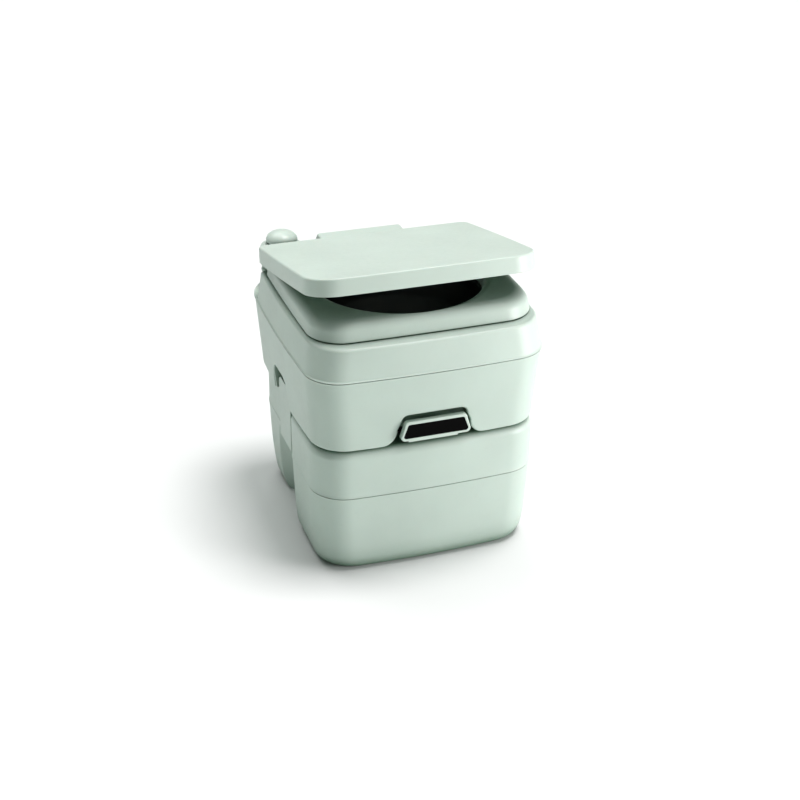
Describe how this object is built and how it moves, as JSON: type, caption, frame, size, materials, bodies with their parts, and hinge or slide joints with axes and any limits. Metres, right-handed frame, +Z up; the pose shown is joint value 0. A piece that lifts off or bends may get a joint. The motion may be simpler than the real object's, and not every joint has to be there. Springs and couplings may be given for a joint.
{
  "type": "portable camp toilet",
  "caption": "Portable flushing camp toilet: flush tank with round bowl, hinged seat and lid, bellows pump and slide valve, latched on a stepped holding tank.",
  "frame": {"origin": "centre of the footprint box, on the floor", "axes": "+Z up, -Y to the front where the user sits, +X to the right seen from the front"},
  "size_m": [0.3502, 0.393, 0.4424],
  "materials": {
    "tank": "pale sage polyethylene, fine satin moulding grain",
    "seat": "pale sage moulded plastic, satin",
    "lid": "pale sage moulded plastic, satin, a little lighter",
    "bowl": "near-black smooth plastic",
    "bellows": "pale sage soft pleated rubber, matt",
    "knob": "pale sage moulded plastic, smooth",
    "inner": "milky translucent plastic",
    "rubber": "black seal rubber",
    "valve": "dark grey moulded plastic",
    "plate": "gloss black plastic",
    "steel": "bright stainless steel"
  },
  "bodies": {
    "root": {"flush_tank_top": "tank", "flush_tank_base": "tank", "bowl": "bowl", "hinge_cover": "tank", "hinge_pin_left": "steel", "hinge_pin_right": "steel", "pump_bellows": "bellows", "pump_base": "tank", "pump_intake_tube": "inner", "flush_tube": "inner", "flush_nozzle": "inner", "filler_gasket": "rubber", "holding_tank_top": "tank", "holding_tank_base": "tank", "valve_plate_lower": "valve", "valve_plate_upper": "valve", "valve_seal": "rubber", "latch_pin_left": "steel", "latch_pin_right": "steel", "spout": "tank", "spout_gasket": "rubber", "vent_guide": "valve", "valve_screw_front_left": "steel", "valve_screw_front_right": "steel", "valve_screw_back_left": "steel", "valve_screw_back_right": "steel"},
    "seat": {"seat": "seat", "seat_bumper_front_left": "rubber", "seat_bumper_front_right": "rubber", "seat_bumper_back_left": "rubber", "seat_bumper_back_right": "rubber"},
    "lid": {"lid": "lid"},
    "pump_plunger": {"pump_knob": "knob", "pump_stem": "inner"},
    "filler_cap": {"filler_cap": "knob"},
    "slide_valve": {"valve_blade": "valve", "valve_handle": "knob", "handle_plate": "plate"},
    "latch_left": {"latch_left": "tank"},
    "latch_right": {"latch_right": "tank"},
    "spout_cap": {"spout_cap": "plate"},
    "vent_pin": {"vent_pin": "plate"}
  },
  "joints": [
    {"name": "seat_hinge", "type": "hinge", "parent": "root", "child": "seat", "pos_m": [0, 0.124, 0.373], "axis": [1, 0, 0], "range_deg": [-95, 0]},
    {"name": "lid_hinge", "type": "hinge", "parent": "seat", "child": "lid", "pos_m": [0, 0.124, 0.373], "axis": [-1, 0, 0], "range_deg": [-11.7, 86.5]},
    {"name": "pump_press", "type": "slide", "parent": "root", "child": "pump_plunger", "axis": [0, 0, -1], "range_m": [0, 0.03], "stiffness_N_per_m": 350, "springref_m": -0.006, "deforming": ["pump_bellows"]},
    {"name": "filler_cap_turn", "type": "hinge", "parent": "root", "child": "filler_cap", "pos_m": [0.1155, 0.151, 0.3522], "axis": [0, 0, 1], "range_deg": [0, 90]},
    {"name": "valve_pull", "type": "slide", "parent": "root", "child": "slide_valve", "axis": [0, -1, 0], "range_m": [0, 0.105]},
    {"name": "latch_left_hinge", "type": "hinge", "parent": "root", "child": "latch_left", "pos_m": [-0.1596, -0.0075, 0.13], "axis": [0, -1, 0], "range_deg": [0, 40]},
    {"name": "latch_right_hinge", "type": "hinge", "parent": "root", "child": "latch_right", "pos_m": [0.1596, -0.0075, 0.13], "axis": [0, 1, 0], "range_deg": [0, 40]},
    {"name": "spout_cap_turn", "type": "hinge", "parent": "root", "child": "spout_cap", "pos_m": [0.085, 0.172, 0.158], "axis": [0, 1, 0], "range_deg": [0, 180]},
    {"name": "vent_press", "type": "slide", "parent": "root", "child": "vent_pin", "axis": [0, 0, -1], "range_m": [0, 0.003], "stiffness_N_per_m": 200, "springref_m": -0.002}
  ]
}
